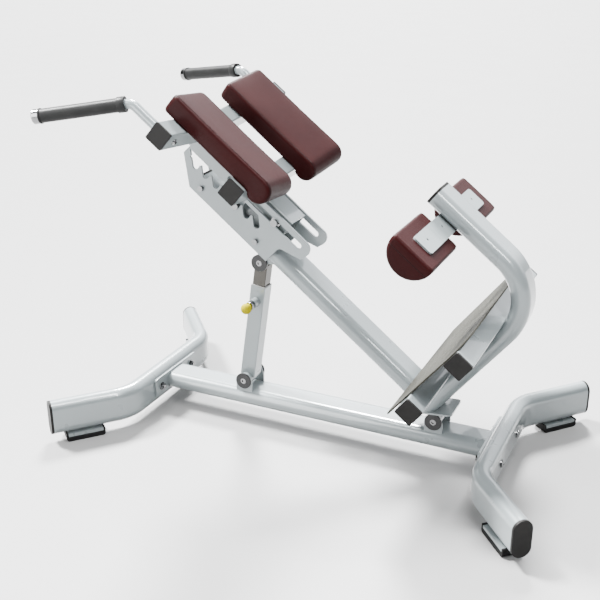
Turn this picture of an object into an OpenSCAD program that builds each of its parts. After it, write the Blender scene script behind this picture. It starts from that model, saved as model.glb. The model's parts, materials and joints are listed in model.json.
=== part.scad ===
// Roman chair, a 45 degree hyperextension bench for a gym.
// Origin: on the floor, midway between the feet. +Z is up, +X points to the
// ankle pads, -X to the hand grips. Left and right are those of a user who
// lies on the hip pads and faces -X, so left is -Y. All sizes in mm.

/* [Tubes] */
// Long side of every flat-oval tube
oval_long = 100; // [80:1:120]
// Short side of every flat-oval tube
oval_short = 50; // [40:1:60]
// Wall of every flat-oval tube
oval_wall = 3; // [2:0.5:4]
// Side of every square cross tube
square_side = 50; // [40:1:60]
// Wall of every square cross tube
square_wall = 2.5; // [2:0.5:4]
// Corner radius of every square cross tube
square_radius = 4; // [2:0.5:6]
// Thickness of every tube end cap
cap_thick = 7; // [4:0.5:12]

/* [Feet] */
// Distance from the middle to the centre line of each foot tube
foot_x = 515; // [450:1:600]
// Height of the centre line of the base tubes
base_z = 75; // [65:1:90]
// Half length of the straight middle of each foot tube
foot_half = 167; // [120:1:220]
// Bend angle of each foot tube arm
foot_bend = 40.8; // [20:0.1:60]
// Centre line radius of each foot tube bend
foot_bend_r = 109; // [80:1:150]
// Length of each straight arm, cap included
foot_arm = 188; // [120:1:260]
// Length of each rubber foot
rubber_long = 110; // [80:1:140]
// Width of each rubber foot
rubber_wide = 50; // [30:1:60]
// Distance from the arm end to the middle of its rubber foot
rubber_back = 94; // [70:1:140]
// Thickness of the sole of each rubber foot
rubber_sole = 15; // [10:0.5:18]

/* [Spine] */
// Half length of the spine beam
spine_half = 484; // [400:1:560]
// Thickness of the plate at each end of the spine
bolt_plate_t = 6; // [4:0.5:10]
// Half width of the plate at each end of the spine
bolt_plate_half = 113; // [90:1:130]
// Distance from the middle to each foot bolt
foot_bolt_y = 83.5; // [70:0.5:100]

/* [Pivots] */
// X of the pivot the boom tilts on
tilt_x = 341.6; // [300:0.1:380]
// Height of the pivots on the spine
pivot_z = 129; // [115:0.5:150]
// X of the pivot at the foot of the strut
strut_x = -228.8; // [-280:0.1:-180]
// Diameter of the pivot shafts
shaft_d = 20; // [12:0.5:26]
// Diameter of the pivot hubs
hub_d = 36; // [28:0.5:44]
// Radial running clearance of the hub bores
run_gap = 0.05; // [0.01:0.01:0.1]
// Outside diameter of the flat discs over the pivots
disc_d = 48; // [36:1:56]
// Outer face of the pivot ears on the spine
ear_y = 40; // [34:0.5:50]
// Thickness of every pivot ear
ear_t = 6; // [4:0.5:10]
// Outer face of the pivot ears under the boom
top_ear_y = 28; // [25:0.5:40]

/* [Boom] */
// Angle of the boom above the floor
boom_angle = 38.11; // [30:0.01:45]
// Distance of the boom centre line above its pivot
boom_h = 23.6; // [20:0.1:30]
// Length along the boom, from the pivot to the end of its cap
boom_end = 910; // [800:1:1000]
// Place along the boom of the upper strut pivot
top_pivot_s = 634; // [580:1:700]
// Depth of the upper strut pivot below the boom pivot line
top_pivot_h = -33.1; // [-45:0.1:-28]

/* [Gooseneck] */
// Place along the boom of the gooseneck's lower leg
neck_s = 40.2; // [30:0.1:60]
// Height where the gooseneck starts to bend
neck_bend_h = 327; // [280:1:380]
// Centre line radius of the gooseneck bend
neck_r = 137; // [100:1:180]
// Place along the boom where the gooseneck ends, cap included
neck_end = 410; // [350:1:460]

/* [Foot plate] */
// Height of the lower foot bar above the boom pivot line
low_bar_h = 150; // [120:1:180]
// Height of the upper foot bar above the boom pivot line
high_bar_h = 330.5; // [300:0.5:360]
// Half length of both foot bars
foot_bar_half = 327; // [280:1:360]
// Thickness of the foot plate
foot_plate_t = 4; // [3:0.5:8]

/* [Ankle pads] */
// Thickness of the plate that carries the ankle pads
ankle_plate_t = 5; // [4:0.5:8]
// Inner end of each ankle pad
ankle_in = 80; // [70:1:100]
// Outer end of each ankle pad
ankle_out = 276; // [240:1:300]
// Width of each ankle pad along the boom
ankle_wide = 121; // [100:1:140]
// Depth of each ankle pad
ankle_deep = 70; // [50:1:90]

/* [Side plates] */
// Inner face of each side plate
plate_y = 52; // [51:0.5:60]
// Thickness of each side plate
plate_t = 6; // [4:0.5:8]
// Distance between two notches
notch_pitch = 38.5; // [30:0.5:50]
// Place along the boom of the lowest notch
notch_first = 700; // [680:1:720]
// Width of the straight slot
slot_wide = 17; // [15:0.5:20]

/* [Carriage] */
// Place along the boom of the slot bolt
slot_bolt_s = 667; // [600:1:800]
// Place along the boom of the lock pin
lock_pin_s = 777; // [700:1:900]
// Diameter of the lock pin
lock_pin_d = 14; // [12:0.5:17]
// Upward slope of each half of the pad bars
bar_slope = 8.9; // [0:0.1:15]
// Place along the boom of the upper pad bar
upper_bar_s = 971.5; // [900:0.5:1000]
// Half length of the upper pad bar, along its slope
upper_bar_half = 320.5; // [280:0.5:350]
// Place along the boom of the lower pad bar
lower_bar_s = 764.7; // [720:0.1:800]
// Half length of the lower pad bar, along its slope
lower_bar_half = 254.6; // [220:0.1:300]
// Height of the pad bars above the boom pivot line, at their middle
bar_h = 158; // [150:0.5:180]

/* [Hip pads] */
// Inner side of each hip pad, along the bar
hip_in = 78; // [60:1:100]
// Outer side of each hip pad, along the bar
hip_out = 238.7; // [200:0.1:280]
// Upper end of each hip pad
hip_top = 1029.5; // [980:0.5:1060]
// Centre of the rolled lower end of each hip pad
hip_roll_s = 717; // [700:1:740]
// Radius of the rolled lower end of each hip pad
hip_roll_r = 29; // [20:0.5:35]
// Thickness of each hip pad, with its steel backing
hip_thick = 50; // [40:1:60]

/* [Grips] */
// Diameter of the handle tubes
handle_d = 25; // [20:1:30]
// Sideways place of the handle tubes
handle_y = 280; // [250:1:300]
// Centre line radius of the handle bends
handle_r = 32; // [28:1:50]
// Diameter of the rubber grips
grip_d = 35; // [28:0.5:38]
// Length of the rubber grips
grip_len = 200; // [150:1:240]

/* [Strut] */
// Side of the outer strut tube
outer_side = 45; // [40:1:50]
// Wall of the outer strut tube
outer_wall = 2.5; // [2:0.5:4]
// Length from the lower pivot to the rim of the outer tube
outer_top = 294; // [260:1:320]
// Side of the inner strut tube
inner_side = 37.7; // [30:0.1:40]
// Length from the lower pivot to the low end of the inner tube
inner_low = 100; // [80:1:140]
// Length from the lower pivot to the pull pin
pin_at = 248; // [220:1:270]
// Distance between two holes of the inner tube
hole_pitch = 25; // [20:1:30]
// Diameter of the pull pin
pin_d = 10; // [8:0.5:12]
// Diameter of the pull knob
knob_d = 30; // [24:1:36]

/* [Hidden] */
$fn = 64;
sm = 0.05;
top_x = tilt_x - top_pivot_s * cos(boom_angle) + top_pivot_h * sin(boom_angle);
top_z = pivot_z + top_pivot_s * sin(boom_angle) + top_pivot_h * cos(boom_angle);
strut_long = norm([top_x - strut_x, top_z - pivot_z]);
strut_tilt = atan2(top_x - strut_x, top_z - pivot_z);
boom_top = boom_h + oval_short / 2;
neck_face = neck_s + oval_short / 2;
foot_bar_s = neck_face + 0.1 + square_side / 2;
foot_plate_s = foot_bar_s + square_side / 2 + 0.1;
neck_top_h = neck_bend_h + neck_r;
ankle_face = neck_top_h - oval_short / 2;
ankle_pad_h = ankle_face - ankle_plate_t - 0.1;
stop_x = 343.5;
stop_z = 156.6;
stop_tilt = 5;
stop_t = 5;
plate_out = plate_y + plate_t;
channel_low = 72.33;
channel_top = 90.5;
channel_end = 958;
notch_h = 64;
notch_r = 9.3;
slot_h = 109;
slot_low_s = 579;
slot_high_s = 833;
lock_pin_h = notch_h - notch_r + lock_pin_d / 2 + 0.4;
box_half = 41;
box_top = 135.3;
box_low = 85;
head_y = 66;
bar_dir = [cos(boom_angle), 0, sin(boom_angle)];

function unit(v) = v / norm(v);
function wrap(i, n) = (i + n) % n;
function half_sin(u, w) = sqrt((1 - u * w) / 2);
function half_cos(u, w) = sqrt((1 + u * w) / 2);

// ---- outlines ----

module oval2(w, h) {
  square([w - h, h], center = true);
  for (e = [-1, 1]) translate([e * (w - h) / 2, 0]) circle(d = h);
}

module oval_ring() {
  difference() {
    oval2(oval_long, oval_short);
    oval2(oval_long - 2 * oval_wall, oval_short - 2 * oval_wall);
  }
}

module rect2(w, h, r) {
  square([w - 2 * r, h], center = true);
  square([w, h - 2 * r], center = true);
  for (x = [-1, 1], y = [-1, 1])
    translate([x * (w / 2 - r), y * (h / 2 - r)]) circle(r = r);
}

module square_ring(w, r, t) {
  difference() {
    rect2(w, w, r);
    rect2(w - 2 * t, w - 2 * t, max(0.5, r - t));
  }
}

// convex outline with one tangent arc at each corner
module rounded2(pts, rad) {
  n = len(pts);
  tangents = [for (i = [0 : n - 1], k = [-1, 1])
    let (u = unit(pts[wrap(i - 1, n)] - pts[i]), w = unit(pts[wrap(i + 1, n)] - pts[i]))
    let (t = rad[i] * half_cos(u, w) / half_sin(u, w))
    pts[i] + t * (k < 0 ? u : w)];
  polygon(tangents);
  for (i = [0 : n - 1]) {
    u = unit(pts[wrap(i - 1, n)] - pts[i]);
    w = unit(pts[wrap(i + 1, n)] - pts[i]);
    translate(pts[i] + unit(u + w) * rad[i] / half_sin(u, w)) circle(r = rad[i]);
  }
}

// ---- placing ----

module both() {
  children();
  mirror([0, 1, 0]) children();
}

module four() {
  both() {
    children();
    mirror([1, 0, 0]) children();
  }
}

// x runs up the boom, z away from it, y to the user's left
module on_boom() {
  translate([tilt_x, 0, pivot_z]) rotate([0, boom_angle, 0]) rotate([0, 0, 180]) children();
}

// z runs up the strut
module on_strut() {
  translate([strut_x, 0, pivot_z]) rotate([0, strut_tilt, 0]) children();
}

module along_x(len) {
  rotate([90, 0, 90]) linear_extrude(height = len) children();
}

module along_y(len) {
  rotate([-90, 0, 0]) linear_extrude(height = len) children();
}

// outline in the x-z plane, thick along y, from y = y0 to y0 + t
module slab_y(y0, t) {
  translate([0, y0 + t, 0]) rotate([90, 0, 0]) linear_extrude(height = t) children();
}

module rod_y(d, half) {
  rotate([90, 0, 0]) cylinder(d = d, h = 2 * half, center = true);
}

// a round piece from y0 to y1 on the y axis
module disc_y(d, y0, y1) {
  translate([0, y0, 0]) rotate([-90, 0, 0]) cylinder(d = d, h = y1 - y0);
}

// ---- base ----

module foot_path(shrink, extra) {
  w = oval_long - 2 * shrink;
  h = oval_short - 2 * shrink;
  bx = foot_x + foot_bend_r * (1 - cos(foot_bend));
  by = foot_half + foot_bend_r * sin(foot_bend);
  translate([foot_x, -foot_half, base_z]) along_y(2 * foot_half) rotate(90) oval2(w, h);
  both() {
    translate([foot_x + foot_bend_r, foot_half, base_z])
      rotate([0, 0, 180 - foot_bend]) rotate_extrude(angle = foot_bend)
      translate([foot_bend_r, 0]) rotate(90) oval2(w, h);
    translate([bx, by, base_z]) rotate([0, 0, -foot_bend])
      along_y(foot_arm - cap_thick + extra) rotate(90) oval2(w, h);
  }
}

module foot_tube_shape() {
  difference() {
    foot_path(0, 0);
    foot_path(oval_wall, 5);
    foot_bolt_holes();
  }
}

module foot_bolt_holes() {
  for (y = [-1, 1]) translate([foot_x - 60, y * foot_bolt_y, base_z + 1])
    rotate([0, 90, 0]) cylinder(d = 12.6, h = 120);
}

// x, y plane with y along the arm, origin at the arm's end
module at_arm_end() {
  ex = foot_x + foot_bend_r * (1 - cos(foot_bend)) + foot_arm * sin(foot_bend);
  ey = foot_half + foot_bend_r * sin(foot_bend) + foot_arm * cos(foot_bend);
  translate([ex, ey, 0]) rotate([0, 0, -foot_bend]) children();
}

module rear_foot_tube() {
  color([0.80, 0.83, 0.84]) foot_tube_shape();
}

module front_foot_tube() {
  color([0.80, 0.83, 0.84]) mirror([1, 0, 0]) foot_tube_shape();
}

module foot_tube_caps() {
  color([0.08, 0.08, 0.08]) four() at_arm_end() translate([0, 0, base_z]) {
    translate([0, -cap_thick + sm, 0]) along_y(cap_thick - sm) rotate(90) oval2(oval_long, oval_short);
    translate([0, -cap_thick - 14, 0]) along_y(14 + 2 * sm)
      rotate(90) oval2(oval_long - 2 * oval_wall - 0.4, oval_short - 2 * oval_wall - 0.4);
  }
}

// a seat plate inside the rubber tray, with a block welded under the tube
module foot_pad_plates() {
  tube_low = base_z - oval_long / 2;
  color([0.75, 0.77, 0.78]) four() at_arm_end() translate([0, -rubber_back, 0]) {
    translate([0, 0, rubber_sole + sm])
      linear_extrude(height = 7 - sm) rect2(rubber_wide, rubber_long - 10.4, 2);
    translate([0, 0, rubber_sole + 6.9])
      linear_extrude(height = tube_low - rubber_sole - 6.9 - sm) square([16, 84], center = true);
  }
}

module rubber_feet() {
  half = rubber_long / 2;
  rim = base_z - oval_long / 2 - 1;
  color([0.06, 0.06, 0.06]) four() at_arm_end() translate([0, -rubber_back, 0])
    rotate([0, 0, 90]) slab_y(-rubber_wide / 2, rubber_wide) difference() {
      union() {
        translate([-half, 9]) square([rubber_long, rim - 9]);
        translate([9 - half, 0]) square([rubber_long - 18, 12]);
        for (x = [-1, 1]) translate([x * (half - 9), 9]) circle(r = 9);
      }
      translate([5 - half, rubber_sole]) square([rubber_long - 10, 30]);
    }
}

module spine_solid(grow) {
  translate([-spine_half, 0, base_z]) along_x(2 * spine_half)
    oval2(oval_long + 2 * grow, oval_short + 2 * grow);
}

module spine_beam() {
  color([0.80, 0.83, 0.84]) translate([-spine_half + sm, 0, base_z])
    along_x(2 * (spine_half - sm)) oval_ring();
}

module bolt_plates() {
  color([0.80, 0.83, 0.84]) for (x = [0, 1]) mirror([x, 0, 0]) difference() {
    translate([spine_half, 0, base_z + 3]) along_x(bolt_plate_t - sm)
      rect2(2 * bolt_plate_half, 56, 8);
    for (y = [-1, 1]) translate([spine_half - 5, y * foot_bolt_y, base_z + 1])
      rotate([0, 90, 0]) cylinder(d = 12.6, h = 20);
  }
}

module foot_bolts() {
  outer = foot_x + oval_short / 2;
  color([0.85, 0.85, 0.86]) four() translate([0, foot_bolt_y, base_z + 1]) rotate([0, 90, 0]) {
    translate([0, 0, outer + sm]) difference() {
      union() {
        cylinder(d = 23, h = 1.5);
        translate([0, 0, 1.5]) cylinder(d = 19, h = 3);
        translate([0, 0, 4.5]) cylinder(d1 = 19, d2 = 13, h = 1.8);
      }
      translate([0, 0, 2.5]) cylinder(d = 8, h = 6, $fn = 6);
    }
    translate([0, 0, spine_half - 11]) cylinder(d = 12, h = outer - spine_half + 11 + 2 * sm);
    translate([0, 0, spine_half - 9.2]) difference() {
      union() {
        cylinder(d = 20, h = 7.3, $fn = 6);
        translate([0, 0, 7.2]) cylinder(d = 23, h = 1.9);
      }
      translate([0, 0, -1]) cylinder(d = 12.3, h = 14);
    }
  }
}

// side view of a pivot ear that stands on the spine
module base_ear2() {
  polygon([[-25, -38], [25, -38], [25, -9], [17, 14], [-17, 14], [-25, -9]]);
  circle(r = 21.9);
}

module base_ears(x) {
  difference() {
    translate([x, 0, pivot_z]) both() difference() {
      slab_y(ear_y - ear_t, ear_t) base_ear2();
      disc_y(shaft_d + 0.3, 0, ear_y + 1);
    }
    spine_solid(sm);
  }
}

module strut_bracket() {
  color([0.80, 0.83, 0.84]) base_ears(strut_x);
}

module tilt_bracket() {
  color([0.80, 0.83, 0.84]) base_ears(tilt_x);
}

module shaft_shape(half) {
  difference() {
    rod_y(shaft_d, half);
    both() disc_y(12, half - 24, half + 1);
  }
}

module pivot_disc_shape(y0) {
  difference() {
    disc_y(disc_d, y0, y0 + 5);
    disc_y(12.4, y0 - 1, y0 + 6);
    disc_y(17, y0 + 1.5, y0 + 6);
  }
}

module pivot_bolt_shape(y0) {
  difference() {
    union() {
      disc_y(11.6, y0 - 20, y0 + 1.7);
      disc_y(16.4, y0 + 1.6, y0 + 5.4);
    }
    translate([0, y0 + 2.4, 0]) rotate([-90, 0, 0]) cylinder(d = 10, h = 4, $fn = 6);
  }
}

module base_pivot_shafts() {
  color([0.78, 0.79, 0.80]) for (x = [strut_x, tilt_x])
    translate([x, 0, pivot_z]) shaft_shape(ear_y);
}

module base_pivot_discs() {
  color([0.36, 0.37, 0.38]) for (x = [strut_x, tilt_x])
    translate([x, 0, pivot_z]) both() pivot_disc_shape(ear_y + sm);
}

module base_pivot_bolts() {
  color([0.86, 0.86, 0.87]) for (x = [strut_x, tilt_x])
    translate([x, 0, pivot_z]) both() pivot_bolt_shape(ear_y + sm);
}

// ---- boom ----

module boom_tube() {
  color([0.80, 0.83, 0.84]) on_boom() difference() {
    translate([neck_s + 1, 0, boom_h]) along_x(boom_end - cap_thick - neck_s - 1) oval_ring();
    neck_path(-sm, 0);
    rod_holes(12.5, 70);
  }
}

module boom_end_cap() {
  color([0.08, 0.08, 0.08]) on_boom() translate([boom_end, 0, boom_h]) rotate([0, 0, 180]) {
    along_x(cap_thick - sm) oval2(oval_long, oval_short);
    along_x(cap_thick + 14) oval2(oval_long - 2 * oval_wall - 0.4, oval_short - 2 * oval_wall - 0.4);
  }
}

module rod_holes(d, half) {
  for (s = [882, 675]) translate([s, 0, 26]) rod_y(d, half);
}

module neck_path(shrink, extra) {
  w = oval_long - 2 * shrink;
  h = oval_short - 2 * shrink;
  translate([neck_s, 0, -40]) linear_extrude(height = neck_bend_h + 40) rotate(90) oval2(w, h);
  translate([neck_s + neck_r, 0, neck_bend_h]) rotate([90, 0, 0]) rotate([0, 0, 90])
    rotate_extrude(angle = 90) translate([neck_r, 0]) rotate(90) oval2(w, h);
  translate([neck_s + neck_r, 0, neck_top_h])
    along_x(neck_end - cap_thick - neck_s - neck_r + extra) oval2(w, h);
}

// everything under the plane that is d above the middle of the stop plate
module under_stop(d) {
  translate([stop_x, 0, stop_z]) rotate([0, -stop_tilt, 0])
    translate([-200, -200, d - 300]) cube([400, 400, 300]);
}

module gooseneck_tube() {
  color([0.80, 0.83, 0.84]) difference() {
    on_boom() difference() {
      neck_path(0, 0);
      neck_path(oval_wall, 5);
    }
    under_stop(stop_t / 2 + sm);
  }
}

module gooseneck_end_cap() {
  color([0.08, 0.08, 0.08]) on_boom() translate([neck_end, 0, neck_top_h]) rotate([0, 0, 180]) {
    along_x(cap_thick - sm) oval2(oval_long, oval_short);
    along_x(cap_thick + 14) oval2(oval_long - 2 * oval_wall - 0.4, oval_short - 2 * oval_wall - 0.4);
  }
}

module stop_plate() {
  color([0.80, 0.83, 0.84]) translate([stop_x, 0, stop_z]) rotate([0, -stop_tilt, 0])
    translate([0, 0, -stop_t / 2]) linear_extrude(height = stop_t)
    rounded2([[-48, -50], [48, -50], [48, 50], [-48, 50]], [3, 12, 12, 3]);
}

module tilt_hub() {
  color([0.72, 0.75, 0.76]) difference() {
    translate([tilt_x, 0, pivot_z]) {
      rod_y(hub_d, ear_y - ear_t - 0.5);
      translate([-14, -30, 0]) cube([28, 60, 40]);
    }
    translate([tilt_x, 0, pivot_z]) rod_y(shaft_d + 2 * run_gap, 60);
    translate([stop_x, 0, stop_z]) rotate([0, -stop_tilt, 0])
      translate([-200, -200, -stop_t / 2 - sm]) cube([400, 400, 100]);
  }
}

module strut_top_bracket() {
  lift = boom_h - oval_short / 2 - top_pivot_h;
  color([0.80, 0.83, 0.84]) on_boom() difference() {
    translate([top_pivot_s, 0, top_pivot_h]) both() difference() {
      slab_y(top_ear_y - ear_t, ear_t) {
        polygon([[-40, lift + 3], [-18, 13], [18, 13], [40, lift + 3]]);
        circle(r = 22.2);
      }
      disc_y(shaft_d + 0.3, 0, top_ear_y + 1);
    }
    translate([0, 0, boom_h]) along_x(boom_end) oval2(oval_long + 2 * sm, oval_short + 2 * sm);
  }
}

module strut_top_shaft() {
  color([0.78, 0.79, 0.80]) translate([top_x, 0, top_z]) shaft_shape(top_ear_y);
}

module strut_top_discs() {
  color([0.36, 0.37, 0.38]) translate([top_x, 0, top_z]) both() pivot_disc_shape(top_ear_y + sm);
}

module strut_top_bolts() {
  color([0.86, 0.86, 0.87]) translate([top_x, 0, top_z]) both() pivot_bolt_shape(top_ear_y + sm);
}

module side_outline2() {
  polygon([[911, 3], [980, 69], [974, 105], [946, 133], [567.5, 133], [545, 100],
           [551, 82.5], [606, 65], [613, 60], [616, 52], [620, 3]]);
  translate([946, 105]) circle(r = 28);
  translate([567.5, 109]) circle(r = 24);
}

// one notch: round floor, square on one side, at 45 degrees on the other
module notch2(s) {
  k = notch_r * cos(45);
  rise = channel_top - notch_h;
  translate([s, notch_h]) {
    circle(r = notch_r);
    polygon([[-notch_r, 0], [k, -k], [k + rise + k, rise], [-notch_r, rise]]);
  }
}

// the lowest notch: a plain slot at 45 degrees
module last_notch2(s) {
  k = notch_r * cos(45);
  rise = channel_top - notch_h;
  translate([s, notch_h]) {
    circle(r = notch_r);
    polygon([[k, -k], [k + rise + k, rise], [rise - 2 * k, rise], [-k, k]]);
  }
}

// rounded tip of the tooth above notch s
module tip2(s) {
  translate([s + 26, channel_low]) {
    circle(r = 3.5);
    polygon([[-4.95, 0], [-2.475, 2.475], [0, 3.5], [0, 0]]);
  }
}

module toothed_slot2() {
  difference() {
    union() {
      translate([notch_first + 20, channel_low])
        square([channel_end - notch_first - 20, channel_top - channel_low]);
      for (i = [1 : 6]) notch2(notch_first + i * notch_pitch);
      last_notch2(notch_first);
    }
    for (i = [0 : 5]) tip2(notch_first + i * notch_pitch);
  }
}

module side_plate_shape() {
  slab_y(plate_y, plate_t) difference() {
    side_outline2();
    toothed_slot2();
    translate([(slot_low_s + slot_high_s) / 2, slot_h])
      oval2(slot_high_s - slot_low_s + slot_wide, slot_wide);
    for (s = [882, 675]) translate([s, 26]) circle(d = 12.5);
  }
}

module side_plate_left() {
  color([0.80, 0.83, 0.84]) on_boom() side_plate_shape();
}

module side_plate_right() {
  color([0.80, 0.83, 0.84]) on_boom() mirror([0, 1, 0]) side_plate_shape();
}

module plate_rods() {
  color([0.62, 0.64, 0.65]) on_boom() for (s = [882, 675]) translate([s, 0, 26]) {
    rod_y(12, plate_out + 1);
    both() disc_y(15.5, plate_out + sm, plate_out + 9);
    both() difference() {
      disc_y(24, oval_long / 2 + 0.02, plate_y - 0.02);
      disc_y(12.4, oval_long / 2 - 1, plate_y + 1);
    }
  }
}

module foot_bar_shape(h) {
  on_boom() difference() {
    translate([foot_bar_s, -foot_bar_half + cap_thick, h]) along_y(2 * (foot_bar_half - cap_thick))
      square_ring(square_side, square_radius, square_wall);
    neck_path(-sm, 0);
  }
}

module lower_foot_bar() {
  color([0.80, 0.83, 0.84]) foot_bar_shape(low_bar_h);
}

module upper_foot_bar() {
  color([0.80, 0.83, 0.84]) foot_bar_shape(high_bar_h);
}

module square_cap(plug) {
  translate([0, sm, 0]) along_y(cap_thick - sm) rect2(square_side, square_side, square_radius);
  translate([0, -plug, 0]) along_y(plug + 1)
    rect2(square_side - 2 * square_wall - 0.4, square_side - 2 * square_wall - 0.4, 1.5);
}

module foot_bar_caps() {
  color([0.08, 0.08, 0.08]) on_boom() for (h = [low_bar_h, high_bar_h]) both()
    translate([foot_bar_s, foot_bar_half - cap_thick, h]) square_cap(12);
}

module foot_plate() {
  color([0.66, 0.66, 0.63]) on_boom() translate([foot_plate_s, 0, 0]) along_x(foot_plate_t)
    rounded2([[-277, 72.4], [277, 72.4], [334, 384.3], [-334, 384.3]], [5, 5, 60, 60]);
}

module ankle_plate() {
  color([0.78, 0.80, 0.81]) on_boom() translate([337.5, 0, ankle_face - ankle_plate_t - sm])
    difference() {
      linear_extrude(height = ankle_plate_t) rect2(57, 452, 9);
      for (y = [-184, -73, 73, 184]) translate([2.5, y, -1]) cylinder(d = 7, h = 10);
    }
}

// socket screws sunk below the face of the plate
module ankle_bolts() {
  color([0.30, 0.30, 0.31]) on_boom() both() for (y = [73, 184])
    translate([340, y, ankle_face - 22]) difference() {
      cylinder(d = 6.8, h = 20);
      translate([0, 0, 17.5]) cylinder(d = 3.6, h = 4, $fn = 6);
    }
}

// flat against its plate, round on the side that meets the leg
module ankle_pad_shape() {
  r = ankle_wide / 2;
  on_boom() difference() {
    translate([339.5, 0, ankle_pad_h]) slab_y(ankle_in, ankle_out - ankle_in) difference() {
      union() {
        translate([-r, r - ankle_deep]) square([2 * r, ankle_deep - r]);
        translate([0, r - ankle_deep]) circle(r = r);
      }
      translate([-2 * r, 0]) square([4 * r, 4 * r]);
    }
    translate([340, 184, ankle_pad_h - 20]) cylinder(d = 7.2, h = 24);
  }
}

module ankle_pad_left() {
  color([0.33, 0.11, 0.11]) ankle_pad_shape();
}

module ankle_pad_right() {
  color([0.33, 0.11, 0.11]) mirror([0, 1, 0]) ankle_pad_shape();
}

// ---- strut ----

module strut_outer_tube() {
  color([0.80, 0.83, 0.84]) on_strut() difference() {
    translate([0, 0, 9]) linear_extrude(height = outer_top - 9)
      square_ring(outer_side, 3, outer_wall);
    rod_y(hub_d + 2 * sm, 40);
    translate([0, -10, pin_at]) rotate([90, 0, 0]) cylinder(d = pin_d + 3, h = 30);
    translate([0, -outer_side / 2 + 1, pin_at + 33]) rotate([90, 0, 0]) cylinder(d = 4, h = 5);
  }
}

module strut_lower_hub() {
  color([0.72, 0.75, 0.76]) on_strut() difference() {
    rod_y(hub_d, ear_y - ear_t - 0.5);
    rod_y(shaft_d + 2 * run_gap, 60);
  }
}

module strut_sleeve() {
  in = inner_side + 0.6;
  out = outer_side - 2 * outer_wall - 0.1;
  color([0.90, 0.90, 0.88]) on_strut() {
    translate([0, 0, outer_top - 34]) linear_extrude(height = 34 + sm) difference() {
      rect2(out, out, 0.6);
      rect2(in, in, 1);
    }
    translate([0, 0, outer_top + sm]) linear_extrude(height = 2.5) difference() {
      rect2(outer_side - 2.5, outer_side - 2.5, 2);
      rect2(in, in, 1);
    }
  }
}

module pin_housing() {
  color([0.76, 0.79, 0.80]) on_strut() translate([0, 0, pin_at]) mirror([0, 1, 0]) difference() {
    disc_y(26, outer_side / 2 + sm, 47);
    disc_y(pin_d + 2 * run_gap, 0, 60);
  }
}

module pin_collar() {
  color([0.86, 0.86, 0.87]) on_strut() translate([0, 0, pin_at]) mirror([0, 1, 0]) difference() {
    union() {
      disc_y(22, 47 + sm, 58);
      disc_y(25, 57.9, 65.4);
    }
    disc_y(pin_d + 2 * run_gap, 0, 70);
  }
}

module pin_plunger() {
  color([0.80, 0.80, 0.81]) on_strut() translate([0, 0, pin_at]) mirror([0, 1, 0])
    disc_y(pin_d, inner_side / 2 + 0.45, 80);
}

module pin_knob() {
  color([0.95, 0.85, 0.05]) on_strut() translate([0, -66 - knob_d / 2, pin_at]) difference() {
    union() {
      sphere(d = knob_d);
      disc_y(18, 2, knob_d / 2);
    }
    disc_y(pin_d + 0.4, -1.3, 30);
  }
}

module strut_inner_tube() {
  color([0.70, 0.70, 0.70]) on_strut() difference() {
    translate([0, 0, inner_low]) linear_extrude(height = strut_long - 10.5 - inner_low)
      square_ring(inner_side, 2, 2.5);
    translate([0, 0, strut_long]) rod_y(hub_d + 2 * sm, 40);
    for (i = [-2 : 1]) translate([0, 0, pin_at + i * hole_pitch])
      rotate([90, 0, 0]) cylinder(d = pin_d + 1, h = 30);
  }
}

module strut_upper_hub() {
  color([0.72, 0.75, 0.76]) on_strut() translate([0, 0, strut_long]) difference() {
    rod_y(hub_d, top_ear_y - ear_t - 0.5);
    rod_y(shaft_d + 4, 60);
  }
}

// ---- carriage ----

module carriage_box() {
  color([0.80, 0.83, 0.84]) on_boom() difference() {
    translate([631, 0, (box_top + box_low) / 2]) along_x(1000 - cap_thick - 631) difference() {
      rect2(2 * box_half, box_top - box_low, 4);
      rect2(2 * box_half - 6, box_top - box_low - 6, 1.5);
    }
    translate([slot_bolt_s, 0, slot_h + 0.3]) rod_y(16.4, 60);
  }
}

module v_path(half, side, extra) {
  for (m = [0, 1]) mirror([0, m, 0]) intersection() {
    rotate([bar_slope, 0, 0]) translate([0, -20, 0]) along_y(half + 20 + extra)
      rect2(side, side, max(0.5, square_radius - (square_side - side) / 2));
    translate([-100, 0, -300]) cube([200, 600, 600]);
  }
}

module pad_bar_shape(s, half) {
  on_boom() difference() {
    translate([s, 0, bar_h]) difference() {
      v_path(half - cap_thick, square_side, 0);
      v_path(half - cap_thick, square_side - 2 * square_wall, 5);
    }
    translate([600, -box_half - sm, 100]) cube([450, 2 * box_half + 2 * sm, box_top - 100 + sm]);
  }
}

module upper_pad_bar() {
  color([0.80, 0.83, 0.84]) pad_bar_shape(upper_bar_s, upper_bar_half);
}

module lower_pad_bar() {
  color([0.80, 0.83, 0.84]) pad_bar_shape(lower_bar_s, lower_bar_half);
}

module on_bar(s) {
  translate([s, 0, bar_h]) rotate([bar_slope, 0, 0]) children();
}

module carriage_caps() {
  color([0.08, 0.08, 0.08]) on_boom() {
    both() on_bar(upper_bar_s) translate([0, upper_bar_half - cap_thick, 0]) square_cap(12);
    both() on_bar(lower_bar_s) translate([0, lower_bar_half - cap_thick, 0]) square_cap(12);
    translate([1000 - cap_thick + sm, 0, (box_top + box_low) / 2]) {
      along_x(cap_thick - sm) rect2(2 * box_half, box_top - box_low, 4);
      translate([-12, 0, 0]) along_x(13) rect2(2 * box_half - 6.4, box_top - box_low - 6.4, 1.5);
    }
  }
}

module lock_pin_lugs() {
  color([0.72, 0.75, 0.76]) on_boom() both() slab_y(box_half + sm, 6) difference() {
    union() {
      translate([lock_pin_s - 12, lock_pin_h]) square([24, 120 - lock_pin_h]);
      translate([lock_pin_s, lock_pin_h]) circle(r = 12);
    }
    translate([lock_pin_s, lock_pin_h]) circle(d = lock_pin_d + 0.3);
  }
}

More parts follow.
